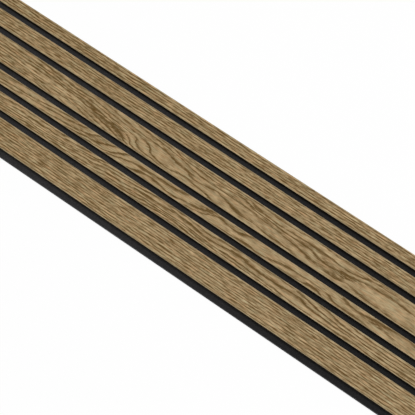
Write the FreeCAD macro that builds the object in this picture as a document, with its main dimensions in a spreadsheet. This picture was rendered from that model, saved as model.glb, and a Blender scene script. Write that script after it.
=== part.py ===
import FreeCAD, Part
import os
import Sketcher

# Acoustic slat wall panel: six oak-faced slats of three widths on a sheet of black felt.
# It lies on its back. +X runs along the slats, +Z points out of the face into the room, and
# +Y runs across, from the felt lip on one long edge to the flush edge on the other.
# The origin is at the centre of the felt's back face.

# Driving dimensions, in millimetres, apart from the count of staples.
SIZES = (
    ("panel_length", 1200, "length of the felt and of every slat"),
    ("narrow_width", 26, "width of slats 1 and 4"),
    ("medium_width", 33, "width of slats 2 and 5"),
    ("wide_width", 53, "width of slats 3 and 6"),
    ("groove_width", 13, "gap between neighbouring slats"),
    ("lip_width", 13, "bare felt past slat 6, which makes the groove to the next panel"),
    ("felt_thickness", 9, "pressed polyester felt"),
    ("core_thickness", 10.8, "black fibreboard core of a slat"),
    ("face_thickness", 1.2, "sawn oak face of a slat"),
    ("eased_edge", 0.9, "radius along both long edges of an oak face"),
    ("crown_length", 12, "staple, outside length of its crown"),
    ("wire_width", 1, "staple wire, across the panel"),
    ("wire_thickness", 0.7, "staple wire, through its thinner side"),
    ("tip_cover", 3.3, "fibreboard left between a staple's tips and the top of the core"),
    ("crown_recess", 0.5, "how far a crown lies below the felt's back face"),
    ("wire_clearance", 0.05, "free space on each side of the wire"),
    ("staple_margin", 100, "panel end to the middle of the first staple"),
    ("staple_columns", 6, "staples in one row along the panel"),
    ("wide_row_spacing", 27, "between the two rows of staples in a wide slat"),
)

# The slats, from the flush edge to the lip: the size that sets the width, and the staple rows.
SLATS = (
    ("slat_1", "narrow_width", 1),
    ("slat_2", "medium_width", 1),
    ("slat_3", "wide_width", 2),
    ("slat_4", "narrow_width", 1),
    ("slat_5", "medium_width", 1),
    ("slat_6", "wide_width", 2),
)

EASED_SHARE = 0.8  # most of an oak face's thickness that its eased edge takes
LEVEL = 1e-6  # two heights closer than this are the same


def cell(name):
    """The name of a size in an expression."""
    return f"Sizes.{name}"


def staple_depth():
    """Expression for a staple's depth, from the outer side of its crown to its tips."""
    stack = f"{cell('felt_thickness')} + {cell('core_thickness')}"
    return f"({stack} - {cell('tip_cover')} - {cell('crown_recess')})"


def before_slat(index):
    """Expression for the distance from the flush edge to the slat's nearer side."""
    terms = [f"{cell(width)} + {cell('groove_width')}" for _, width, _ in SLATS[:index]]
    return " + ".join(terms) if terms else "0"


def overall_width():
    """Expression for the panel's width, lip included."""
    last = len(SLATS) - 1
    return f"({before_slat(last)} + {cell(SLATS[last][1])} + {cell('lip_width')})"


def row_offsets(width, rows):
    """Expressions for the staple rows of one slat, each from the slat's -Y side."""
    middle = f"{cell(width)} / 2"
    if rows == 1:
        return [middle]
    half = f"{cell('wide_row_spacing')} / 2"
    return [f"({middle} - {half})", f"({middle} + {half})"]


def make_sheet(doc):
    """The spreadsheet of driving dimensions."""
    sheet = doc.addObject("Spreadsheet::Sheet", "Sizes")
    for number, (name, value, note) in enumerate(SIZES, start=1):
        sheet.set(f"A{number}", name)
        sheet.set(f"B{number}", str(value))
        sheet.setAlias(f"B{number}", name)
        sheet.set(f"C{number}", note)
    doc.recompute()


def new_body(doc, label):
    body = doc.addObject("PartDesign::Body", label)
    body.Label = label
    return body


def origin_part(body, role):
    """One of the body's own origin planes or axes."""
    return next(part for part in body.Origin.OriginFeatures if part.Role == role)


def new_sketch(body, name, plane, shift_x, shift_y, lift="0"):
    """A sketch on an origin plane, with its zero moved by the three expressions."""
    sketch = body.newObject("Sketcher::SketchObject", name)
    sketch.AttachmentSupport = [(origin_part(body, plane), "")]
    sketch.MapMode = "FlatFace"
    for axis, text in (("x", shift_x), ("y", shift_y), ("z", lift)):
        sketch.setExpression(f".AttachmentOffset.Base.{axis}", text)
    return sketch


def add_rectangle(sketch, name, left, low, width, height):
    """A rectangle whose place and size are expressions, measured from the sketch's zero.

    It starts as a unit square, one unit along and one up, and then takes those sizes.
    """
    first = sketch.GeometryCount
    points = [FreeCAD.Vector(x, y, 0) for x, y in ((1, 1), (2, 1), (2, 2), (1, 2))]
    for side in range(4):
        sketch.addGeometry(Part.LineSegment(points[side], points[(side + 1) % 4]))
    bottom, right, top, leftmost = range(first, first + 4)
    for side in range(4):
        following = first + (side + 1) % 4
        sketch.addConstraint(Sketcher.Constraint("Coincident", first + side, 2, following, 1))
    for side in (bottom, top):
        sketch.addConstraint(Sketcher.Constraint("Horizontal", side))
    for side in (right, leftmost):
        sketch.addConstraint(Sketcher.Constraint("Vertical", side))
    measures = (
        ("left", "DistanceX", (-1, 1, bottom, 1), left),
        ("low", "DistanceY", (-1, 1, bottom, 1), low),
        ("width", "DistanceX", (bottom, 1, bottom, 2), width),
        ("height", "DistanceY", (right, 1, right, 2), height),
    )
    for measure, kind, ends, text in measures:
        number = sketch.addConstraint(Sketcher.Constraint(kind, *ends, 1))
        sketch.renameConstraint(number, f"{name}_{measure}")
        sketch.setExpression(f"Constraints.{name}_{measure}", text)


def add_pad(body, name, sketch, length, both_ways=False):
    pad = body.newObject("PartDesign::Pad", name)
    pad.Profile = sketch
    pad.SideType = "Symmetric" if both_ways else "One side"
    pad.setExpression("Length", length)
    return pad


def add_pocket(body, name, sketch, depth):
    """A pocket that rises from the sketch's plane into the solid above it."""
    pocket = body.newObject("PartDesign::Pocket", name)
    pocket.Profile = sketch
    pocket.Reversed = True
    pocket.setExpression("Length", depth)
    return pocket


def repeat_along_panel(doc, body, features):
    """Repeats one column of staple features from margin to margin."""
    doc.recompute()
    pattern = body.newObject("PartDesign::LinearPattern", "Columns")
    pattern.Originals = features
    pattern.Direction = (origin_part(body, "X_Axis"), [""])
    pattern.Mode = "Extent"
    pattern.setExpression("Length", f"{cell('panel_length')} - 2 * {cell('staple_margin')}")
    pattern.setExpression("Occurrences", cell("staple_columns"))
    body.Tip = pattern


def crown_rectangles(sketch, rows, clearance):
    """The crowns of the first column of staples, one for each row."""
    long_side = f"{cell('crown_length')} + 2 * {clearance}"
    short_side = f"{cell('wire_width')} + 2 * {clearance}"
    left = f"{cell('staple_margin')} - ({long_side}) / 2"
    for number, row in enumerate(rows, start=1):
        low = f"{row} - ({short_side}) / 2"
        add_rectangle(sketch, f"crown_{number}", left, low, long_side, short_side)


def leg_rectangles(sketch, rows, clearance):
    """The two legs of each staple in the first column."""
    long_side = f"{cell('wire_thickness')} + 2 * {clearance}"
    short_side = f"{cell('wire_width')} + 2 * {clearance}"
    outer = f"{cell('crown_length')} / 2 + {clearance}"
    starts = {
        "first": f"{cell('staple_margin')} - ({outer})",
        "second": f"{cell('staple_margin')} + {outer} - ({long_side})",
    }
    for number, row in enumerate(rows, start=1):
        for leg, left in starts.items():
            low = f"{row} - ({short_side}) / 2"
            add_rectangle(sketch, f"{leg}_leg_{number}", left, low, long_side, short_side)


def staple_rows():
    """Expressions for every staple row, each from the lip edge."""
    rows = []
    for index, (_, width, count) in enumerate(SLATS):
        low_side = f"{overall_width()} - ({before_slat(index)}) - {cell(width)}"
        rows += [f"({low_side} + {offset})" for offset in row_offsets(width, count)]
    return rows


def panel_corner():
    """Expressions for the corner at the panel's first end and its lip edge."""
    return f"-{cell('panel_length')} / 2", f"-{overall_width()} / 2"


def make_felt(doc):
    """The felt sheet, with a groove for each crown and two holes for the legs of each staple."""
    body = new_body(doc, "felt_backing")
    corner = panel_corner()
    outline = new_sketch(body, "Outline", "XY_Plane", *corner)
    add_rectangle(outline, "sheet", "0", "0", cell("panel_length"), overall_width())
    add_pad(body, "Sheet", outline, cell("felt_thickness"))
    doc.recompute()

    crowns = new_sketch(body, "Crowns", "XY_Plane", *corner)
    crown_rectangles(crowns, staple_rows(), cell("wire_clearance"))
    crown_top = f"{cell('crown_recess')} + {cell('wire_thickness')}"
    grooves = add_pocket(body, "CrownGrooves", crowns, crown_top)
    doc.recompute()

    legs = new_sketch(body, "Legs", "XY_Plane", *corner)
    leg_rectangles(legs, staple_rows(), cell("wire_clearance"))
    holes = add_pocket(body, "LegHoles", legs, cell("felt_thickness"))
    repeat_along_panel(doc, body, [grooves, holes])
    return body


def place_slat(body, index, height):
    """Puts a slat's piece over its strip of felt, at the height given."""
    middle = f"{before_slat(index)} + {cell(SLATS[index][1])} / 2"
    body.setExpression(".Placement.Base.y", f"{overall_width()} / 2 - ({middle})")
    body.setExpression(".Placement.Base.z", height)


def make_core(doc, index):
    """A slat's fibreboard core, with blind holes for the staple legs in its underside."""
    name, width, rows = SLATS[index]
    body = new_body(doc, f"{name}_core")
    section = new_sketch(body, "Section", "YZ_Plane", f"-{cell(width)} / 2", "0")
    add_rectangle(section, "core", "0", "0", cell(width), cell("core_thickness"))
    add_pad(body, "Bar", section, cell("panel_length"), both_ways=True)
    doc.recompute()

    legs = new_sketch(body, "Legs", "XY_Plane", f"-{cell('panel_length')} / 2", f"-{cell(width)} / 2")
    leg_rectangles(legs, row_offsets(width, rows), cell("wire_clearance"))
    depth = f"{cell('core_thickness')} - {cell('tip_cover')} + {cell('wire_clearance')}"
    holes = add_pocket(body, "LegHoles", legs, depth)
    repeat_along_panel(doc, body, [holes])
    place_slat(body, index, cell("felt_thickness"))
    return body


def top_long_edges(shape):
    """Names of the two long edges along the top of an oak face."""
    top = shape.BoundBox.ZMax
    names = []
    for number, edge in enumerate(shape.Edges, start=1):
        box = edge.BoundBox
        if abs(box.ZMin - top) < LEVEL and box.XLength > box.YLength:
            names.append(f"Edge{number}")
    return names


def make_oak_face(doc, index):
    """A slat's oak face: a thin sheet with its two long top edges eased."""
    name, width, _ = SLATS[index]
    body = new_body(doc, f"{name}_oak_face")
    section = new_sketch(body, "Section", "YZ_Plane", f"-{cell(width)} / 2", "0")
    add_rectangle(section, "face", "0", "0", cell(width), cell("face_thickness"))
    sheet = add_pad(body, "Sheet", section, cell("panel_length"), both_ways=True)
    doc.recompute()

    easing = body.newObject("PartDesign::Fillet", "EasedEdges")
    easing.Base = (sheet, top_long_edges(sheet.Shape))
    limit = f"{EASED_SHARE} * {cell('face_thickness')}"
    easing.setExpression("Radius", f"min({cell('eased_edge')}; {limit})")
    place_slat(body, index, f"{cell('felt_thickness')} + {cell('core_thickness')}")
    return body


def make_staples(doc):
    """All the staples: separate steel pieces, each a crown with two legs."""
    body = new_body(doc, "staples")
    corner = panel_corner()
    crowns = new_sketch(body, "Crowns", "XY_Plane", *corner, cell("crown_recess"))
    crown_rectangles(crowns, staple_rows(), "0")
    backs = add_pad(body, "CrownBars", crowns, cell("wire_thickness"))
    doc.recompute()

    legs = new_sketch(body, "Legs", "XY_Plane", *corner, cell("crown_recess"))
    leg_rectangles(legs, staple_rows(), "0")
    bars = add_pad(body, "LegBars", legs, staple_depth())
    repeat_along_panel(doc, body, [backs, bars])
    return body


def check(doc, bodies):
    """Stops the script if an object has failed or a sub-part's shape isn't sound."""
    for thing in doc.Objects:
        if "Invalid" in thing.State or "Error" in thing.State:
            raise RuntimeError(f"{thing.Label} failed: {thing.State}")
    for body in bodies:
        shape = body.Shape
        if shape.isNull() or not shape.isValid() or not shape.Solids:
            raise RuntimeError(f"{body.Label} has no sound shape")


def main():
    doc = FreeCAD.newDocument("slat_panel")
    make_sheet(doc)
    bodies = [make_felt(doc)]
    for index in range(len(SLATS)):
        bodies.append(make_core(doc, index))
        bodies.append(make_oak_face(doc, index))
    bodies.append(make_staples(doc))
    doc.recompute()
    check(doc, bodies)

    os.makedirs("parts", exist_ok=True)
    for body in bodies:
        body.Shape.exportStep(f"parts/{body.Label}.step")
        box = body.Shape.BoundBox
        size = f"{box.XLength:.1f} x {box.YLength:.1f} x {box.ZLength:.1f} mm"
        print(f"{body.Label}: {len(body.Shape.Solids)} solid(s), {size}")


main()
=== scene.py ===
import math
import bpy
import numpy as np
from mathutils import Matrix, Vector


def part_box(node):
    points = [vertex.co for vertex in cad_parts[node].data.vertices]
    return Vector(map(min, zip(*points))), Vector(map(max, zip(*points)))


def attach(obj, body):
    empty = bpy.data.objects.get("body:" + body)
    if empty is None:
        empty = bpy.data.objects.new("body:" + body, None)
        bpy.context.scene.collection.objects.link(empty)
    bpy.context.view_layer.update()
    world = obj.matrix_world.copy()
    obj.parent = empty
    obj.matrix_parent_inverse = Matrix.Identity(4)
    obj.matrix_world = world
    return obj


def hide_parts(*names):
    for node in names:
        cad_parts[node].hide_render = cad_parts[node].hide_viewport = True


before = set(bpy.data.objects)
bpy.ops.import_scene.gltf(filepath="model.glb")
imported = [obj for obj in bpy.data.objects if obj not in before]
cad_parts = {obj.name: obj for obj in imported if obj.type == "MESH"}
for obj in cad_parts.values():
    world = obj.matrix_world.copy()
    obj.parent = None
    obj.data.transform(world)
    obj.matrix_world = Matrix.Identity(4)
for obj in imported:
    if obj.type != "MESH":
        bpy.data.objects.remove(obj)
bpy.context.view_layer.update()  # metres, the panel on its back, +X along the slats, +Z out of the face
mm = 0.001
print("frame loaded:", len(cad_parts), "nodes")


# Colours are written as sRGB hex and turned to linear here.
def hexColour(text):
    srgb = np.array([int(text[i:i + 2], 16) for i in (0, 2, 4)]) / 255
    linear = np.where(srgb <= 0.04045, srgb / 12.92, ((srgb + 0.055) / 1.055) ** 2.4)
    return (*linear.tolist(), 1.0)


# Adds one shader node. inputs gives a value or a socket for each input, by name or in order, and
# settings gives its properties. A Mix node takes two colours at 6 and 7 and gives one at 2.
def addNode(tree, kind, inputs, out=0, **settings):
    node = tree.nodes.new("ShaderNode" + kind)
    for name, value in settings.items():
        setattr(node, name, value)
    pairs = inputs.items() if isinstance(inputs, dict) else enumerate(inputs)
    for key, value in pairs:
        if isinstance(value, bpy.types.NodeSocket):
            tree.links.new(value, node.inputs[key])
        else:
            node.inputs[key].default_value = value
    return node.outputs[out]


# A material with an empty Principled shader: gives the material, its tree and the shader.
def newMaterial(name):
    material = bpy.data.materials.new(name)
    material.use_nodes = True
    tree = material.node_tree
    return material, tree, tree.nodes["Principled BSDF"]


# Growth rings

# The oak is one flat-sawn leaf laid over all six slats. Each slat has marks: a ring's number, then
# points that the ring passes through, in millimetres on the panel. Rings are counted outwards
# from the heart line, which runs in the groove between slats 3 and 4.
growth = {
    "squeeze": 5.0,  # rings run this many times straighter along the slat than across it
    "slack": 2.0,  # lets the surface miss a mark a little instead of kinking
    "bold": [0.97, 0.78, 1.0, 1.17, 1.52, 1.03],  # how strongly the rings of slats 1 to 6 show
    "slat_1": [
        (0, [(-600, 124), (-300, 125), (0, 124), (300, 125.5), (600, 124)]),
        (2.5, [(-600, 138), (-300, 137), (-100, 138.5), (100, 137), (300, 139), (600, 137)]),
        (5.0, [(-600, 151), (-300, 152), (0, 151), (300, 152.5), (600, 151)]),
    ],
    "slat_2": [
        (0, [(-600, 79), (-400, 78), (-200, 79.5), (0, 78), (200, 79), (400, 79), (600, 79)]),
        (3.1, [(-600, 95), (-400, 97), (-250, 96), (-120, 97), (-60, 94), (60, 94), (150, 93),
             (300, 96), (400, 97.5)]),
        (6.3, [(-600, 111), (-400, 113), (-200, 111), (0, 112), (200, 111), (400, 113),
             (600, 112)]),
    ],
    "slat_3": [
        (-6, [(-600, 19), (-500, 18), (-440, 17), (-390, 14), (-350, 10)]),
        (-5, [(-600, 25), (-500, 23), (-430, 22), (-400, 20), (-380, 17.5), (-340, 14),
             (-310, 10)]),
        (-4, [(-600, 30), (-430, 26), (-370, 25), (-340, 24), (-320, 22.5), (-300, 19), (-270, 14),
             (-240, 8)]),
        (-3, [(-600, 35), (-430, 30), (-370, 30.5), (-325, 28), (-295, 24), (-265, 18.5),
             (-230, 13)]),
        (-1, [(-600, 48), (-440, 43), (-370, 42), (-315, 39), (-265, 34), (-220, 29), (-200, 22),
             (-190, 16)]),
        (0, [(-600, 54), (-430, 49), (-370, 46), (-310, 44), (-260, 39.5), (-215, 36), (-195, 32),
             (-185, 26), (-178, 18)]),
        (1, [(-600, 61), (-440, 55), (-380, 52), (-345, 50), (-280, 49), (-250, 44), (-215, 40.5),
             (-185, 38.5), (-177, 36), (-172, 30), (-163, 24.5), (-148, 20), (-115, 17.5),
             (-90, 13.5)]),
        (2, [(-600, 66), (-420, 60.5), (-380, 58), (-330, 55.5), (-290, 56.5), (-255, 52),
             (-220, 47.5), (-180, 45), (-150, 40), (-138, 31.5), (-115, 23), (-90, 19.8), (-60, 23),
             (-35, 23.6), (-8, 20.5), (15, 16.5), (40, 11)]),
        (3, [(-600, 72), (-400, 67.5), (-340, 64), (-275, 63.5), (-245, 58.5), (-200, 53.5),
             (-160, 49.7), (-110, 48), (-80, 41), (-48, 36.5), (-28, 31.4), (-10, 31), (12, 34.3),
             (27, 35.3), (48, 31), (70, 24.2), (90, 21.8), (122, 21.5), (150, 18), (205, 16.5),
             (240, 12)]),
        (4, [(-220, 67), (-170, 61), (-145, 57.5), (-100, 56), (-70, 52), (-45, 46.5), (-22, 43.8),
             (25, 44.5), (60, 43.3), (100, 41.5), (140, 38), (175, 35.6), (205, 32.4), (240, 26.5),
             (270, 23.6), (297, 21), (330, 23), (360, 20), (400, 18), (470, 15)]),
        (5, [(-140, 64), (-100, 61.5), (-70, 57), (-35, 54), (-15, 51.5), (25, 51), (60, 53),
             (92, 51.5), (110, 47.5), (133, 46), (165, 43.5), (200, 42), (235, 42.5), (265, 36.5),
             (295, 34), (320, 37.5), (350, 42), (370, 45.5), (400, 47), (450, 46), (520, 43),
             (600, 40)]),
        (6, [(-90, 64.5), (-40, 58.5), (0, 57), (60, 57.5), (105, 55.5), (128, 51), (160, 48.5),
             (200, 49), (255, 51), (285, 50), (305, 48.2), (340, 48.8), (360, 52), (380, 56.5),
             (420, 58), (600, 53)]),
        (7, [(-50, 63), (0, 61.3), (50, 61.4), (90, 62.5), (150, 60), (250, 63), (350, 61),
             (400, 64), (600, 63)]),
    ],
    "slat_4": [
        (0, [(-600, -5), (-500, -4), (-440, -2), (-400, 1), (-360, 4)]),
        (1, [(-600, -18), (-460, -14.5), (-420, -12), (-390, -10.5), (-365, -8), (-340, -5),
             (-310, -2), (-285, 3)]),
        (2, [(-600, -24), (-430, -17.5), (-370, -14.5), (-335, -12), (-305, -9), (-283, -5),
             (-262, 2)]),
        (3, [(-600, -31), (-400, -25), (-345, -22), (-315, -19), (-290, -16), (-262, -11),
             (-247, -5), (-230, 3)]),
        (4, [(-400, -30), (-330, -27), (-290, -22), (-262, -18), (-240, -15.5), (-222, -10.5),
             (-200, -3), (-188, 3)]),
        (5, [(-330, -32), (-280, -26), (-240, -22.5), (-215, -21), (-200, -17), (-184, -9),
             (-168, -2), (-155, 3)]),
        (6, [(-260, -30), (-220, -26), (-200, -21), (-172, -14.5), (-150, -10), (-115, -7.5),
             (-90, -5.6), (-60, -7.2), (-38, -4.5), (-18, 1)]),
        (7, [(-200, -30), (-160, -24), (-138, -20), (-115, -15.5), (-98, -14.6), (-70, -18),
             (-45, -19), (-15, -16), (8, -14.3), (28, -9.5), (42, -2), (52, 2)]),
        (8, [(-120, -27), (-60, -26), (0, -22), (40, -12), (55, -6.5), (80, -8), (104, -9),
             (125, -4), (150, 2)]),
        (9, [(30, -27), (80, -24), (112, -22), (130, -20.3), (170, -22), (192, -18.5), (212, -14.2),
             (245, -12), (262, -12), (295, -11.4), (318, -13), (338, -19.5), (375, -21.2),
             (430, -24), (500, -28)]),
        (10, [(200, -26), (255, -23.3), (272, -21), (290, -17.6), (303, -20.5), (325, -25)]),
        (8, [(330, 2), (350, -2), (385, -8.5), (405, -7.5), (425, -3.2), (450, -3), (475, 2)]),
        (8.5, [(390, -13), (412, -10.5), (430, -13), (455, -16), (490, -18), (550, -20),
             (600, -21)]),
    ],
    "slat_5": [
        (0, [(-600, -45), (-420, -43), (-370, -42.5), (-325, -42), (-295, -39), (-270, -35)]),
        (1, [(-600, -52), (-440, -54.5), (-412, -50.4), (-370, -49), (-357, -50), (-335, -48.6),
             (-305, -50), (-285, -46.5), (-265, -43.3), (-240, -41.5), (-215, -37)]),
        (2, [(-600, -57), (-500, -59), (-420, -57), (-320, -55.5), (-285, -54), (-255, -50),
             (-225, -46), (-195, -41), (-170, -37)]),
        (3, [(-600, -61), (-500, -63), (-420, -62), (-370, -60), (-285, -57.5), (-245, -52),
             (-215, -49), (-190, -45), (-150, -43), (-115, -40.5), (-95, -36)]),
        (4, [(-600, -65), (-500, -67), (-360, -64), (-300, -62), (-255, -58.5), (-215, -56.5),
             (-180, -50.5), (-150, -48.5), (-120, -47), (-90, -44), (-65, -40), (-45, -36)]),
        (5, [(-600, -69), (-420, -70), (-330, -67.5), (-280, -66), (-215, -62.5), (-180, -57.5),
             (-140, -55), (-110, -51.2), (-60, -48.5), (-10, -47), (20, -49), (50, -52.3),
             (85, -53), (115, -49.5), (148, -47.5), (160, -50.5), (200, -52.5), (245, -52.3),
             (285, -50.3), (300, -55.5), (330, -58), (400, -60), (500, -62), (600, -60)]),
        (6, [(-400, -75), (-300, -71), (-220, -68), (-165, -63.5), (-135, -63), (-110, -59),
             (-70, -56.6), (-30, -57.5), (0, -56.5), (40, -59), (90, -61), (150, -61), (210, -63),
             (260, -66.5), (320, -68), (500, -69), (600, -67)]),
        (7, [(-200, -72), (-140, -68), (-110, -65), (-75, -62), (-30, -61), (10, -61), (50, -63.5),
             (110, -65), (170, -66.5), (230, -69), (300, -73)]),
        (8, [(-140, -73), (-95, -70), (-65, -67), (-35, -64.5), (5, -64.5), (40, -68), (90, -70),
             (150, -73)]),
        (4, [(-20, -40), (50, -43), (110, -41), (150, -38), (250, -41), (300, -46), (330, -51),
             (400, -55), (600, -54)]),
        (3, [(300, -36), (340, -41), (362, -45.5), (385, -49), (430, -50.5), (600, -49)]),
    ],
    "slat_6": [
        (0, [(-600, -85), (-400, -84), (-200, -86), (0, -84), (200, -85), (400, -84), (600, -86)]),
        (5.2, [(-600, -110), (-400, -109), (-250, -110), (-150, -112), (-50, -109), (100, -111),
             (300, -109), (600, -111)]),
        (10.4, [(-600, -137), (-400, -138), (-200, -136), (0, -139), (200, -137), (400, -139),
             (600, -138)]),
    ],
    # Brown smudges of crowded early wood, and pale patches with a depth below zero: centre x and y,
    # half length and half width, slope, depth.
    "smudges": [
        # right along a slat
        (0, 138, 900, 14, 0, 0.08), (0, -56, 900, 14, 0, -0.12), (0, 96, 900, 15, 0, 0.08),
        (0, -112, 900, 30, 0, -0.08),
        # slat 1
        (-300, 134, 90, 8, 0, 0.12),
        # slat 2
        (-300, 97, 90, 9, 0, 0.15), (-20, 95, 60, 10, 0, 0.1),
        # slat 3
        (-400, 36, 75, 3.5, 0, -0.7), (-395, 46, 70, 6, -0.02, 0.35),
        (-320, 33, 28, 4, -0.15, -0.3), (-265, 36, 62, 7, -0.16, 0.7),
        (-215, 25, 30, 7, -0.2, 0.52), (-145, 36, 9, 5, -0.5, 0.6), (-110, 30, 35, 6, 0, -0.2),
        (-95, 45, 34, 2.5, -0.13, 0.5), (-70, 40, 110, 26, 0, 0.07), (0, 26, 45, 5, 0, -0.2),
        (3, 20, 15, 3, -0.1, 0.75), (74, 26, 26, 4.5, -0.15, 0.85), (105, 53, 22, 5, -0.05, 0.5),
        (150, 42, 60, 22, 0, 0.1), (165, 45, 28, 3, 0, 0.5), (170, 18, 36, 3, 0, 0.5),
        (218, 32, 22, 3, -0.15, 0.4), (232, 42, 18, 4, 0, 0.35), (255, 50, 32, 3, 0, 0.8),
        (262, 25, 20, 3, 0, 0.6), (272, 36, 26, 6, 0, 0.4), (300, 58, 60, 5, 0, -0.25),
        (322, 31, 14, 9, 0.3, 1.0), (340, 37.5, 24, 4, 0.15, 1.2), (360, 55, 30, 4, 0.1, 0.4),
        (375, 19, 26, 4, 0, 0.45), (385, 32, 50, 6, 0, -0.2),
        # slat 4
        (-400, -19, 60, 3.5, 0, -0.35), (-385, -5, 40, 4, 0.05, -0.2), (-320, -2, 16, 3, 0.1, 0.6),
        (-305, -12, 26, 3, 0.1, -0.2), (-285, -16, 36, 7, 0.1, 0.2), (-255, -3, 20, 4, 0.2, -0.2),
        (-245, -13, 26, 8, 0.15, 0.22), (-215, -6, 24, 6, 0.3, 0.4), (-125, -19, 14, 3, 0, 0.5),
        (-75, -6, 40, 2.5, 0, 0.5), (-10, -9, 40, 4, -0.05, -0.1), (27, -9, 15, 6, 0.3, 1.3),
        (65, -14, 50, 4.5, 0, -0.3), (75, -5, 36, 4, 0, 0.45), (125, -21, 22, 2.2, 0, 0.5),
        (290, -19.5, 16, 3.5, 0, 0.75), (325, -16, 14, 2.5, -0.4, 0.5), (360, -21, 36, 2.2, 0, 0.5),
        (423, -10, 18, 5, 0, 1.2), (445, -4, 24, 2.5, 0.05, 0.6), (455, -15, 30, 2, -0.1, 0.5),
        # slat 5
        (-430, -56, 130, 20, 0, -0.2), (-380, -55, 40, 2.5, 0, -0.2), (-356, -50, 12, 2.5, 0, 0.8),
        (-200, -46, 20, 2.5, 0.1, 0.2), (-137, -63, 12, 2.5, 0, 0.7), (-100, -60, 24, 5, 0.1, 0.35),
        (-60, -66, 15, 3.5, 0.2, 1.15), (16, -49, 13, 2.5, 0, 0.6), (25, -67, 16, 2.5, -0.1, 0.6),
        (60, -50, 30, 6, 0, 0.25), (140, -48, 24, 4, 0, 0.6), (150, -56, 70, 16, 0, 0.1),
        (205, -52.5, 22, 3.5, 0, 0.5), (245, -53, 40, 4, 0, 0.45), (290, -54, 14, 4, -0.4, 0.6),
        (330, -62, 50, 3, 0, -0.2),
        # slat 6
        (-300, -115, 60, 5, 0, 0.08), (-250, -127, 90, 6, 0, 0.1),
    ],
}


# The ring number at each x and y: a thin plate spline through the marks of one slat. Its height is
# a flat trend plus, for each mark at a distance d, a weight times half of d squared times the
# logarithm of d squared.
def ringNumber(marks, x, y):
    squeeze = growth["squeeze"]
    knots = np.array([(px / squeeze, py, ring) for ring, line in marks for px, py in line])
    across = np.stack((x / squeeze, y), -1)

    def bend(points):
        squared = ((points[..., None, :] - knots[:, :2]) ** 2).sum(-1)
        return 0.5 * squared * np.log(np.maximum(squared, 1e-12))  # nothing at the mark itself

    count = len(knots)
    trend = np.column_stack((np.ones(count), knots[:, :2]))
    system = np.zeros((count + 3, count + 3))
    system[:count, :count] = bend(knots[:, :2]) + growth["slack"] * np.eye(count)
    system[:count, count:] = trend
    system[count:, :count] = trend.T
    weights = np.linalg.solve(system, np.append(knots[:, 2], np.zeros(3)))
    return weights[count] + across @ weights[count + 1:] + bend(across) @ weights[:count]


# How brown the leaf is at each x and y: the sum of the smudges there, each a soft oval.
def brownness(x, y):
    brown = np.zeros_like(x)
    for centreX, centreY, halfX, halfY, slope, depth in growth["smudges"]:
        along = (x - centreX) / halfX
        over = (y - centreY - slope * (x - centreX)) / halfY
        brown += depth * np.exp(-along ** 2 - over ** 2)
    return np.clip(brown, -1, 1)


# Meshes

# A closed mesh from rings of points, one ring for each station along the piece, with flat ends.
# points has the shape (stations, points of a ring, 3) and each ring runs the same way round.
def tubeMesh(name, points):
    stations, around, _ = points.shape
    index = np.arange(stations * around).reshape(stations, around)
    ahead = np.roll(index, -1, axis=1)
    quads = np.stack((index[:-1], index[1:], ahead[1:], ahead[:-1]), -1).reshape(-1, 4)
    ends = [index[0].tolist(), index[-1][::-1].tolist()]
    mesh = bpy.data.meshes.new(name)
    mesh.from_pydata(points.reshape(-1, 3).tolist(), [], quads.tolist() + ends)
    mesh.shade_smooth()
    mesh.set_sharp_from_angle(angle=math.radians(40))  # square corners stay crisp
    piece = bpy.data.objects.new(name, mesh)
    bpy.context.scene.collection.objects.link(piece)
    return piece


# Stores a value or a vector at each point of a mesh, for its material to read.
def addAttribute(piece, name, kind, values):
    layer = piece.data.attributes.new(name, kind, "POINT")
    field = "vector" if kind == "FLOAT_VECTOR" else "value"
    layer.data.foreach_set(field, np.ascontiguousarray(values, np.float32).ravel())


# Oak faces

oakFace = {
    "stepAlong": 2.0 * mm,
    "stepAcross": 1.0 * mm,
    "easedRadius": 0.9 * mm,
    "arcPoints": 6,
    "paleOlive": "B5A780",  # the dense late wood, where a streak is lightest
    "paleGold": "C5A074",  # the same where the leaf turns warmer
    "darkest": "573F15",  # the porous early wood, where a line is deepest
    "edgeHighlight": "B4A584",  # a painted highlight along the eased edges, paler and greyer than the wood
    "edgeHighlightReach": 2.2 * mm,  # how far the painted edge highlight fades in from an edge
    "edgeHighlightShare": 0.6,
    "alongShare": 0.5,  # a line that crosses the slat is drawn wider, as pores smear it lengthwise
    "leastSlope": 0.03,  # rings to a millimetre, so that no ring is drawn over 33 mm wide
    "ringsApart": 20,  # between the ring numbers of two slats, so that they share none
    "flowPitch": 6 * mm,  # what one ring counts for in patterns that follow the rings
    "ground": 0.38,  # how dark the plain wood is, from 0 to 1
    "lineShare": 0.6,  # and how much darker each of these makes it
    "poreShare": 0.22,
    "smudgeShare": 0.6,
    "finePoreShare": 0.3,
    "darkestTone": 0.93,
    "roughness": (0.5, 0.7),  # of the palest and of the darkest wood
    "specular": 0.16,
    "relief": 0.15 * mm,
}


# The ring of points round one oak face: along its flat top, down a quarter circle and a straight side
# at each edge, and back along its flat underside. Gives y, z and how much of the painted edge highlight
# each point gets.
def faceSection(low, high):
    radius = oakFace["easedRadius"]
    flat = high.y - low.y - 2 * radius
    top = np.linspace(low.y + radius, high.y - radius, 1 + round(flat / oakFace["stepAcross"]))
    turn = np.linspace(0, math.pi / 2, oakFace["arcPoints"])
    rightY = high.y - radius + radius * np.sin(turn)
    leftY = low.y + radius - radius * np.sin(turn[::-1])
    arcZ = high.z - radius + radius * np.cos(turn)
    y = np.concatenate((leftY, top[1:-1], rightY, [high.y, low.y]))
    z = np.concatenate((arcZ[::-1], np.full(len(top) - 2, high.z), arcZ, [low.z, low.z]))
    inwards = np.minimum(y - low.y, high.y - y) / oakFace["edgeHighlightReach"]
    return y, z, np.clip(1 - inwards, 0, 1)


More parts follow.
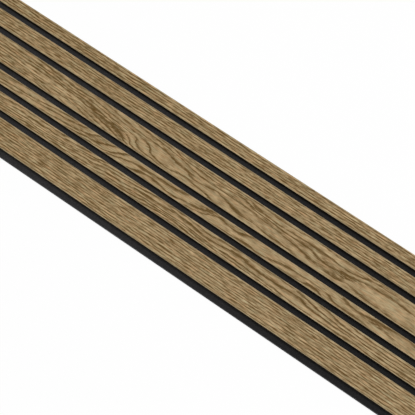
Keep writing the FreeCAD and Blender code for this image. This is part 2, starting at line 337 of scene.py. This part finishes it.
def makeOakFace(slat, material):
    low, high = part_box(f"{slat}_oak_face")
    y, z, eased = faceSection(low, high)
    x = np.linspace(low.x, high.x, 1 + round((high.x - low.x) / oakFace["stepAlong"]))
    points = np.empty((len(x), len(y), 3))
    points[..., 0] = x[:, None]
    points[..., 1] = y
    points[..., 2] = z
    piece = tubeMesh(f"{slat}_grained_face", points)
    flatX, flatY = points[..., 0] / mm, points[..., 1] / mm
    ring = ringNumber(growth[slat], flatX, flatY)
    slopeX = (ringNumber(growth[slat], flatX + 1, flatY) - ring) * oakFace["alongShare"]
    slopeY = ringNumber(growth[slat], flatX, flatY + 1) - ring
    ringWidth = 1 / np.maximum(np.hypot(slopeX, slopeY), oakFace["leastSlope"])
    number = int(slat[-1])
    apart = ring + oakFace["ringsApart"] * number
    grown = np.stack((apart, ringWidth, brownness(flatX, flatY)), -1)
    addAttribute(piece, "growth", "FLOAT_VECTOR", grown)
    addAttribute(piece, "bold", "FLOAT", np.full(ring.shape, growth["bold"][number - 1]))
    addAttribute(piece, "eased", "FLOAT", np.broadcast_to(eased, ring.shape))
    piece.data.materials.append(material)
    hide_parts(f"{slat}_oak_face")
    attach(piece, "root")


# Flat-sawn oak under matt oil. The eye sees tan wood with a brown line at the start of each ring,
# sharp on its inner side and fading outwards, short dashes of open pores, and streaks along it.
def oiledOak():
    material, tree, shader = newMaterial("matt_oiled_oak")

    # Noise drawn out along the board or along the rings. size is its length and its width in
    # millimetres and its detail. Between two of its levels it goes from one value to another.
    def grain(where, size, levels, values):
        length, width, detail = size
        scale = (1000 / length, 1000 / width, 1000 / width)
        stretched = addNode(tree, "Mapping", {0: where, "Scale": scale})
        noise = addNode(tree, "TexNoise",
                        {"Vector": stretched, "Scale": 1, "Detail": detail, "Roughness": 0.6})
        return addNode(tree, "MapRange", (noise, *levels, *values))

    growthAt = addNode(tree, "Attribute", (), out="Vector", attribute_name="growth")
    ring, ringWidth, brown = addNode(tree, "SeparateXYZ", (growthAt,)).node.outputs
    board = addNode(tree, "TexCoord", (), out="Object")
    along, _, upward = addNode(tree, "SeparateXYZ", (board,)).node.outputs
    overRings = addNode(tree, "Math", (ring, oakFace["flowPitch"]), operation="MULTIPLY")
    flow = addNode(tree, "CombineXYZ", (along, overRings, upward))

    # A ring's line wanders by a millimetre or two, and its edges are ragged, because the pores run
    # straight along the board while the line crosses them. Narrow rings wander less.
    slowShift = grain(board, (80, 10, 2), (0.25, 0.75), (-1.8, 1.8))
    raggedShift = grain(board, (18, 1.8, 2), (0.25, 0.75), (-1.2, 1.2))
    shift = addNode(tree, "Math", (slowShift, raggedShift), operation="ADD")
    shiftShare = addNode(tree, "MapRange", (ringWidth, 4, 9, 0.62, 1))
    shift = addNode(tree, "Math", (shift, shiftShare), operation="MULTIPLY")
    shift = addNode(tree, "Math", (shift, ringWidth), operation="DIVIDE")
    wandered = addNode(tree, "Math", (ring, shift), operation="ADD")
    number = addNode(tree, "Math", (wandered,), operation="FLOOR")
    outward = addNode(tree, "Math", (wandered,), operation="FRACT")
    outward = addNode(tree, "Math", (outward, ringWidth), operation="MULTIPLY")
    inward = addNode(tree, "Math", (ringWidth, outward), operation="SUBTRACT")

    # The early wood comes in over 1.3 mm, is darkest for 1 mm and has faded 2.4 to 7 mm from its
    # start, and a faint brown reaches further. Where rings are narrow all of these are narrower.
    narrower = addNode(tree, "MapRange", (ringWidth, 4, 9, 0.65, 1))
    farthest = addNode(tree, "MapRange", (ringWidth, 4, 8, 3.2, 7.0))
    fading = grain(flow, (70, 8, 1), (0.35, 0.65), (2.4, farthest))
    bandEnd = addNode(tree, "Math", (narrower, fading), operation="MULTIPLY")
    band = addNode(tree, "MapRange", (outward, narrower, bandEnd, 0.75, 0),
                   interpolation_type="SMOOTHSTEP")
    tailEnd = addNode(tree, "Math", (ringWidth, 0.45, 1.0), operation="MULTIPLY_ADD")
    tail = addNode(tree, "MapRange", (outward, 0, tailEnd, 0.25, 0),
                   interpolation_type="SMOOTHSTEP")
    comesIn = addNode(tree, "Math", (narrower, 1.3), operation="MULTIPLY")
    late = addNode(tree, "MapRange", (inward, 0, comesIn, 1, 0), interpolation_type="SMOOTHSTEP")
    line = addNode(tree, "Math", (band, tail), operation="ADD")
    line = addNode(tree, "Math", (line, late), operation="MAXIMUM")

    # Some rings are darker than others, and each comes and goes along the board.
    ringTone = addNode(tree, "TexWhiteNoise", {"W": number}, noise_dimensions="1D")
    faintest = addNode(tree, "MapRange", (ringWidth, 4, 8, 0.5, 0.62))
    presence = grain(board, (50, 5, 2), (0.36, 0.6), (faintest, 1))
    weakest = addNode(tree, "MapRange", (ringWidth, 4, 8, 0.5, 0.75))
    ringShare = addNode(tree, "MapRange", (ringTone, 0, 1, weakest, 1))
    strength = addNode(tree, "Math", (presence, ringShare), operation="MULTIPLY")
    fuller = addNode(tree, "Math", (brown, 0.4, strength), operation="MULTIPLY_ADD", use_clamp=True)
    dashes = grain(board, (16, 1.8, 2), (0.35, 0.65), (0.8, 1.1))
    shown = addNode(tree, "Math", (fuller, dashes), operation="MULTIPLY")

    # Narrow rings are drawn bolder, but swing about a middle tone, so that a patch of them is no
    # darker than the wood round it.
    middle = addNode(tree, "MapRange", (ringWidth, 5, 8, 0.4, 0))
    swing = addNode(tree, "Math", (line, middle), operation="SUBTRACT")
    swing = addNode(tree, "Math", (swing, shown), operation="MULTIPLY")
    lineDark = addNode(tree, "Math", (middle, 0.6, swing), operation="MULTIPLY_ADD")
    bolder = addNode(tree, "MapRange", (ringWidth, 4, 8, 1.45, 1))
    bold = addNode(tree, "Attribute", (), out="Fac", attribute_name="bold")
    contrast = addNode(tree, "Math", (bold, bolder), operation="MULTIPLY")
    lineDark = addNode(tree, "Math", (lineDark, contrast), operation="MULTIPLY")

    # Pores are dashes 14 mm long, most of them in the lines and smudges. Real ones are a third of a
    # millimetre wide: these are drawn five times as wide, so that they show.
    pores = grain(board, (14, 1.6, 2), (0.5, 0.68), (0, 1))
    porous = addNode(tree, "Math", (line, 0.6, 0.2), operation="MULTIPLY_ADD")
    porous = addNode(tree, "Math", (brown, 0.4, porous), operation="MULTIPLY_ADD", use_clamp=True)
    poreDark = addNode(tree, "Math", (pores, porous), operation="MULTIPLY")

    # From near by the eye sees single pores and fibres too, half a millimetre wide.
    finePores = grain(board, (8, 0.45, 0), (0.58, 0.66), (0, 1))
    finePoreDark = addNode(tree, "Math", (finePores, porous), operation="MULTIPLY")
    fibres = grain(board, (16, 0.5, 1), (0.3, 0.7), (-0.13, 0.13))

    # Streaks 26 mm by 3.1 mm follow the rings, fine ones 17 mm by 1.9 mm run along the board, and
    # both are weaker in wide rings, which are mostly smooth late wood. Under them lie soft streaks
    # 90 mm by 5 mm and slow clouds, and the smudges are mottled.
    streaks = grain(flow, (26, 3.1, 1), (0.3, 0.7), (-0.22, 0.22))
    fine = grain(board, (17, 1.9, 1), (0.3, 0.7), (-0.3, 0.3))
    busy = addNode(tree, "Math", (streaks, fine), operation="ADD")
    busyShare = addNode(tree, "MapRange", (ringWidth, 5, 10, 1, 0.7))
    soft = grain(flow, (90, 5, 2), (0.3, 0.7), (-0.03, 0.03))
    clouds = grain(board, (200, 25, 1), (0.3, 0.7), (-0.02, 0.02))
    mottle = grain(board, (13, 2.4, 2), (0.36, 0.64), (0.15, 1.45))
    smudge = addNode(tree, "Math", (mottle, brown), operation="MULTIPLY")

    # The tone goes from 0, palest, to 1, darkest. Fine pores and fibres come last, so that they
    # show in the darkest places too.
    tone = oakFace["ground"]
    for part, share in ((soft, 1), (clouds, 1), (busy, busyShare), (lineDark, oakFace["lineShare"]),
                        (poreDark, oakFace["poreShare"]), (smudge, oakFace["smudgeShare"])):
        tone = addNode(tree, "Math", (part, share, tone), operation="MULTIPLY_ADD")
    tone = addNode(tree, "Math", (tone, 0.0), operation="MAXIMUM")
    tone = addNode(tree, "Math", (tone, oakFace["darkestTone"], 0.25), operation="SMOOTH_MIN")
    tone = addNode(tree, "Math", (finePoreDark, oakFace["finePoreShare"], tone),
                   operation="MULTIPLY_ADD")
    tone = addNode(tree, "Math", (tone, fibres), operation="ADD")

    # Streaks 30 mm long and 3.5 mm wide lean to gold or to olive.
    tint = grain(board, (30, 3.5, 2), (0.3, 0.7), (0, 1))
    olive, gold = hexColour(oakFace["paleOlive"]), hexColour(oakFace["paleGold"])
    palest = addNode(tree, "Mix", {0: tint, 6: olive, 7: gold}, out=2, data_type="RGBA")
    darkest = hexColour(oakFace["darkest"])
    colour = addNode(tree, "Mix", {0: tone, 6: palest, 7: darkest}, out=2, data_type="RGBA")

    # The eased edges are painted paler and greyer: a painted highlight where their rounding catches the
    # light.
    eased = addNode(tree, "Attribute", (), out="Fac", attribute_name="eased")
    edgeShare = addNode(tree, "Math", (eased, oakFace["edgeHighlightShare"]), operation="MULTIPLY")
    edgeHighlight = hexColour(oakFace["edgeHighlight"])
    colour = addNode(tree, "Mix", {0: edgeShare, 6: colour, 7: edgeHighlight}, out=2, data_type="RGBA")

    tree.links.new(colour, shader.inputs["Base Color"])
    roughness = addNode(tree, "MapRange", (tone, 0, 1, *oakFace["roughness"]))
    tree.links.new(roughness, shader.inputs["Roughness"])
    shader.inputs["Specular IOR Level"].default_value = oakFace["specular"]
    height = addNode(tree, "Math", (tone, -1.0), operation="MULTIPLY")
    bump = addNode(tree, "Bump", {"Height": height, "Distance": oakFace["relief"], "Strength": 0.6})
    tree.links.new(bump, shader.inputs["Normal"])
    return material


oak = oiledOak()
slats = [f"slat_{number}" for number in range(1, 7)]
for slat in slats:
    makeOakFace(slat, oak)
print("oak faces made")


# Fibreboard cores

core = {
    "dark": "1A1611",
    "pale": "302920",
    "roughness": 0.9,
    "specular": 0.12,
    "relief": 0.1 * mm,
}


# Medium-density fibreboard dyed black in the mass, sawn. The eye sees a dull brown-black side with
# short flecks of fibre, 2 mm by 0.7 mm, and no grain.
def blackFibreboard():
    material, tree, shader = newMaterial("black_dyed_fibreboard")
    place = addNode(tree, "TexCoord", (), out="Object")
    fleckPlace = addNode(tree, "Mapping", {0: place, "Scale": (500, 1400, 1400)})
    flecks = addNode(tree, "TexNoise", {"Vector": fleckPlace, "Scale": 1, "Detail": 4})
    tone = addNode(tree, "MapRange", (flecks, 0.35, 0.7))
    dark, pale = hexColour(core["dark"]), hexColour(core["pale"])
    colour = addNode(tree, "Mix", {0: tone, 6: dark, 7: pale}, out=2, data_type="RGBA")
    tree.links.new(colour, shader.inputs["Base Color"])
    shader.inputs["Roughness"].default_value = core["roughness"]
    shader.inputs["Specular IOR Level"].default_value = core["specular"]
    bump = addNode(tree, "Bump", {"Height": flecks, "Distance": core["relief"], "Strength": 0.5})
    tree.links.new(bump, shader.inputs["Normal"])
    return material


# Gives every face of a CAD node one material.
def dressNode(name, material):
    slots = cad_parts[name].material_slots
    for slot in slots:
        slot.material = material


fibreboard = blackFibreboard()
for slat in slats:
    dressNode(f"{slat}_core", fibreboard)
print("cores dressed")


# Felt

felt = {
    "coarse": 6.0 * mm,  # mesh spacing where the sheet is plain
    "fine": 1.3 * mm,  # in the grooves and at the staples
    "grooveReach": 7 * mm,  # the fine spacing goes this far from the middle of a groove
    "stapleReachX": 11 * mm,  # and this far from a staple
    "stapleReachY": 6 * mm,
    "edgeRadius": 0.5 * mm,
    "arcPoints": 5,
    "puff": 0.35 * mm,  # how far the felt swells beside the slats, which press it down
    "puffPower": 0.6,  # below 1 the swell is flat on top and steep at its sides
    "stir": 0.1 * mm,  # how high slow waves stand on the swell
    "stirLength": 37 * mm,
    "stirWidth": 23 * mm,
    "dimple": 0.9 * mm,  # how deep a staple's crown pulls the back in
    "dimpleReach": 2.4 * mm,
    "crownHalf": 6.0 * mm,
    "stapleX": [-500, -300, -100, 100, 300, 500],
    "stapleY": [138, 95.5, 53, 26, -13, -55.5, -98, -125],
    "dark": "151414",
    "pale": "2A292A",
    "hair": "4E4E4F",
    "paintedSheenShades": (1.45, 0.66),  # painted sheen: how much lighter or darker the felt is painted half a metre to the left and to the right
    "roughness": 0.95,
    "specular": 0.15,
    "sheen": 0.15,
    "relief": 0.3 * mm,
}


# Points along a line whose spacing is fine within reach of the centres and coarse elsewhere.
def gradedLine(low, high, centres, reach):
    place = np.linspace(low, high, 6001)  # close enough to count the steps over
    near = np.abs(place[:, None] - np.array(centres)).min(axis=1) < reach
    spacing = np.where(near, felt["fine"], felt["coarse"])
    steps = np.append(0, np.cumsum(np.diff(place) / spacing[1:]))
    return np.interp(np.linspace(0, steps[-1], 1 + round(steps[-1])), steps, place)


# The felt sheet: a ring of points round its section, rounded at the corners, carried along the
# panel and drawn in at both ends by the same radius. Beside each slat the top swells as a power of
# half a sine wave, and slow sine waves stir it by a tenth of a millimetre. Round each staple the
# back is pulled in as a bell curve of the distance from the staple's crown.
def makeFelt(material):
    low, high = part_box("felt_backing")
    radius = felt["edgeRadius"]
    stapleX, stapleY = np.array(felt["stapleX"]) * mm, np.array(felt["stapleY"]) * mm
    edges = [low.y] + sorted(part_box(f"{slat}_core")[side].y for slat in slats for side in (0, 1))
    grooves = list(zip(edges[0::2], edges[1::2]))
    middles = [sum(groove) / 2 for groove in grooves]
    top = gradedLine(low.y + radius, high.y - radius, middles, felt["grooveReach"])
    back = gradedLine(low.y + radius, high.y - radius, stapleY, felt["stapleReachY"])[::-1]
    turn = np.linspace(0, math.pi / 2, felt["arcPoints"])
    more, less = radius * (1 - np.sin(turn)), radius * (1 - np.cos(turn))
    y = np.concatenate((top, high.y - more[1:], high.y - less[:-1],
                        back, low.y + more[1:], low.y + less[:-1]))
    z = np.concatenate((np.full(len(top), high.z), high.z - less[1:], low.z + more[:-1],
                        np.full(len(back), low.z), low.z + less[1:], high.z - more[:-1]))
    plain = gradedLine(low.x + radius, high.x - radius, stapleX, felt["stapleReachX"])
    x = np.concatenate((low.x + less[:-1], plain, high.x - less[:-1][::-1]))
    toEnd = np.minimum(x - low.x, high.x - x)
    drawn = radius - np.sqrt(radius ** 2 - np.maximum(radius - toEnd, 0) ** 2)
    middleY, middleZ = (low.y + high.y) / 2, (low.z + high.z) / 2
    points = np.empty((len(x), len(y), 3))
    points[..., 0] = x[:, None]
    points[..., 1] = middleY + (y - middleY) * (1 - drawn[:, None] / (high.y - middleY))
    points[..., 2] = middleZ + (z - middleZ) * (1 - drawn[:, None] / (high.z - middleZ))

    swell = np.zeros_like(points[..., 1])
    for start, stop in grooves:
        if start == low.y:
            start = 2 * start - stop  # the lip is half a swell, highest at its free edge
        share = np.clip((points[..., 1] - start) / (stop - start), 0, 1)
        swell += np.sin(math.pi * share) ** felt["puffPower"] * felt["puff"]
    onTop = np.clip((points[..., 2] - high.z + radius) / radius, 0, 1)
    waveX = np.sin(points[..., 0] / felt["stirLength"])
    waveY = np.sin(points[..., 1] / felt["stirWidth"] + 1)
    stirred = swell + felt["stir"] * (waveX * waveY)
    points[..., 2] += onTop * np.where(swell > felt["stir"], stirred, swell)
    offX = np.abs(points[..., 0, None] - stapleX).min(axis=-1)
    offY = np.abs(points[..., 1, None] - stapleY).min(axis=-1)
    away = np.hypot(np.maximum(offX - felt["crownHalf"], 0), offY) / felt["dimpleReach"]
    points[..., 2] += np.where(points[..., 2] < middleZ, felt["dimple"] * np.exp(-away ** 2), 0)

    piece = tubeMesh("felt_sheet", points)
    piece.data.materials.append(material)
    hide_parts("felt_backing")
    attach(piece, "root")


# Needled polyester felt, dyed black. The eye sees a dull charcoal mat of tangled fibres, with paler
# single hairs and a soft sheen where light grazes it. Its colour also carries a painted sheen: it is
# painted lighter towards the left end, at -X, and darker towards the right.
def needledFelt():
    material, tree, shader = newMaterial("needled_black_felt")
    place = addNode(tree, "TexCoord", (), out="Object")
    mat = addNode(tree, "TexNoise", {"Vector": place, "Scale": 900, "Detail": 5, "Roughness": 0.65})
    cloud = addNode(tree, "TexNoise", {"Vector": place, "Scale": 60, "Detail": 2})

    # Hairs some 0.2 mm wide lie two ways: each is where a noise crosses its own middle.
    hairLine = 0.0
    for scale, turn in ((280, 0.4), (420, 1.9)):
        turned = addNode(tree, "Mapping",
                         {0: place, "Rotation": (0, 0, turn), "Scale": (1, 2.2, 1)})
        curl = addNode(tree, "TexNoise", {"Vector": turned, "Scale": scale, "Detail": 1})
        apart = addNode(tree, "Math", (curl, 0.5), operation="SUBTRACT")
        distance = addNode(tree, "Math", (apart,), operation="ABSOLUTE")
        hair = addNode(tree, "MapRange", (distance, 0.0, 0.03, 1, 0))
        hairLine = addNode(tree, "Math", (hair, hairLine), operation="MAXIMUM")

    tone = addNode(tree, "MapRange", (mat, 0.3, 0.72))
    dark, pale = hexColour(felt["dark"]), hexColour(felt["pale"])
    colour = addNode(tree, "Mix", {0: tone, 6: dark, 7: pale}, out=2, data_type="RGBA")
    hairShare = addNode(tree, "Math", (hairLine, 0.35), operation="MULTIPLY")
    paleHair = hexColour(felt["hair"])
    colour = addNode(tree, "Mix", {0: hairShare, 6: colour, 7: paleHair}, out=2, data_type="RGBA")
    # The colour is scaled by slow clouds of the felt's own tone and by a painted sheen, lighter to the
    # left and darker to the right.
    clouded = addNode(tree, "MapRange", (cloud, 0.3, 0.7, 0.88, 1.1))
    along = addNode(tree, "SeparateXYZ", (place,))
    paintedSheen = addNode(tree, "MapRange", (along, -0.5, 0.5, *felt["paintedSheenShades"]),
                    interpolation_type="SMOOTHSTEP")
    toneAndPaintedSheen = addNode(tree, "Math", (clouded, paintedSheen), operation="MULTIPLY")
    colourWithPaintedSheen = addNode(tree, "VectorMath", {"Vector": colour, "Scale": toneAndPaintedSheen}, operation="SCALE")
    tree.links.new(colourWithPaintedSheen, shader.inputs["Base Color"])
    shader.inputs["Roughness"].default_value = felt["roughness"]
    shader.inputs["Specular IOR Level"].default_value = felt["specular"]
    shader.inputs["Sheen Weight"].default_value = felt["sheen"]
    shader.inputs["Sheen Roughness"].default_value = 0.5
    bump = addNode(tree, "Bump", {"Height": mat, "Distance": felt["relief"], "Strength": 0.7})
    tree.links.new(bump, shader.inputs["Normal"])
    return material


makeFelt(needledFelt())
print("felt made")


# Staples

staple = {
    "dull": "8A8D90",
    "bright": "B9BCBE",
    "roughness": (0.3, 0.5),
}


# Galvanised steel wire. The eye sees a dull silver-grey with faint lengthwise drawing marks, 3 mm
# by a quarter of a millimetre.
def galvanisedWire():
    material, tree, shader = newMaterial("galvanised_wire")
    place = addNode(tree, "TexCoord", (), out="Object")
    drawnPlace = addNode(tree, "Mapping", {0: place, "Scale": (300, 4000, 4000)})
    drawn = addNode(tree, "TexNoise", {"Vector": drawnPlace, "Scale": 1, "Detail": 3})
    dull, bright = hexColour(staple["dull"]), hexColour(staple["bright"])
    colour = addNode(tree, "Mix", {0: drawn, 6: dull, 7: bright}, out=2, data_type="RGBA")
    tree.links.new(colour, shader.inputs["Base Color"])
    shader.inputs["Metallic"].default_value = 1
    rough = addNode(tree, "MapRange", (drawn, 0, 1, *staple["roughness"]))
    tree.links.new(rough, shader.inputs["Roughness"])
    return material


dressNode("staples", galvanisedWire())
print("staples dressed")


# Studio

studio = {
    "target": (0.025, 0.00407, 0.0),
    "azimuth": 35.113,  # degrees from -Y towards +X
    "elevation": 70.612,
    "distance": 2.3487,
    "lens": 101.763,  # mm, for a sensor 36 mm wide
    "worldStrength": 0.36,
    "keySize": 1.4,
    "keyPower": 62,
    "keyPlace": (0.3, 0.4, 3.0),
    "floorHalf": 6.0,
    "floorDrop": 0.2 * mm,  # keeps the floor clear of the felt's back
    "paper": "F2F2F2",
    "paperGlow": 0.95,  # the share of the floor's white that is its own
}


# A camera or lamp at a place, looking at a point with its top towards +Z.
def aimed(name, data, place, point):
    thing = bpy.data.objects.new(name, data)
    back = (Vector(place) - Vector(point)).normalized()
    right = Vector((0, 0, 1)).cross(back).normalized()
    up = back.cross(right)
    thing.matrix_world = Matrix.Translation(place) @ Matrix((right, up, back)).transposed().to_4x4()
    bpy.context.scene.collection.objects.link(thing)
    return thing


def makeStudio():
    scene = bpy.context.scene
    azimuth, elevation = math.radians(studio["azimuth"]), math.radians(studio["elevation"])
    level = math.cos(elevation)
    back = Vector((math.sin(azimuth) * level, -math.cos(azimuth) * level, math.sin(elevation)))
    eye = bpy.data.cameras.new("camera")
    eye.lens = studio["lens"]
    eye.sensor_width = 36
    target = Vector(studio["target"])
    scene.camera = aimed("camera", eye, target + back * studio["distance"], target)

    lamp = bpy.data.lights.new("key", "AREA")
    lamp.shape = "SQUARE"
    lamp.size = studio["keySize"]
    lamp.energy = studio["keyPower"]
    aimed("key", lamp, studio["keyPlace"], (0, 0, 0))

    world = bpy.data.worlds.new("studio")
    scene.world = world
    world.use_nodes = True
    background = world.node_tree.nodes["Background"]
    background.inputs["Color"].default_value = (1, 1, 1, 1)
    seen = seenShare(world.node_tree)
    strength = addNode(world.node_tree, "MapRange", (seen, 0, 1, studio["worldStrength"], 1.0))
    world.node_tree.links.new(strength, background.inputs["Strength"])

    side = studio["floorHalf"]
    points = [(-side, -side, 0), (side, -side, 0), (side, side, 0), (-side, side, 0)]
    mesh = bpy.data.meshes.new("floor")
    mesh.from_pydata(points, [], [(0, 1, 2, 3)])
    floor = bpy.data.objects.new("floor", mesh)
    floor.location.z = -studio["floorDrop"]
    scene.collection.objects.link(floor)
    mesh.materials.append(whiteFloor())
    scene.view_settings.view_transform = "Standard"


# 1 for rays from the camera, in reflections and through glass, and 0 for rays that only light.
def seenShare(tree):
    rays = addNode(tree, "LightPath", ()).node.outputs
    seen = addNode(tree, "Math", (rays["Is Camera Ray"], rays["Is Glossy Ray"]),
                   operation="MAXIMUM")
    return addNode(tree, "Math", (seen, rays["Is Transmission Ray"]), operation="MAXIMUM")


# Matt white paper. Seen straight on or in a reflection most of its white is its own, so that it
# looks evenly white, and the rest is lit, so that it keeps the panel's shadow.
def whiteFloor():
    material, tree, shader = newMaterial("white_paper")
    shader.inputs["Base Color"].default_value = hexColour(studio["paper"])
    shader.inputs["Roughness"].default_value = 1
    shader.inputs["Specular IOR Level"].default_value = 0
    share = addNode(tree, "Math", (seenShare(tree), studio["paperGlow"]), operation="MULTIPLY")
    glow = addNode(tree, "Emission", {"Color": (1, 1, 1, 1), "Strength": 1})
    mixed = addNode(tree, "MixShader", (share, shader.outputs[0], glow))
    tree.links.new(mixed, tree.nodes["Material Output"].inputs["Surface"])
    return material


makeStudio()
print("studio made")
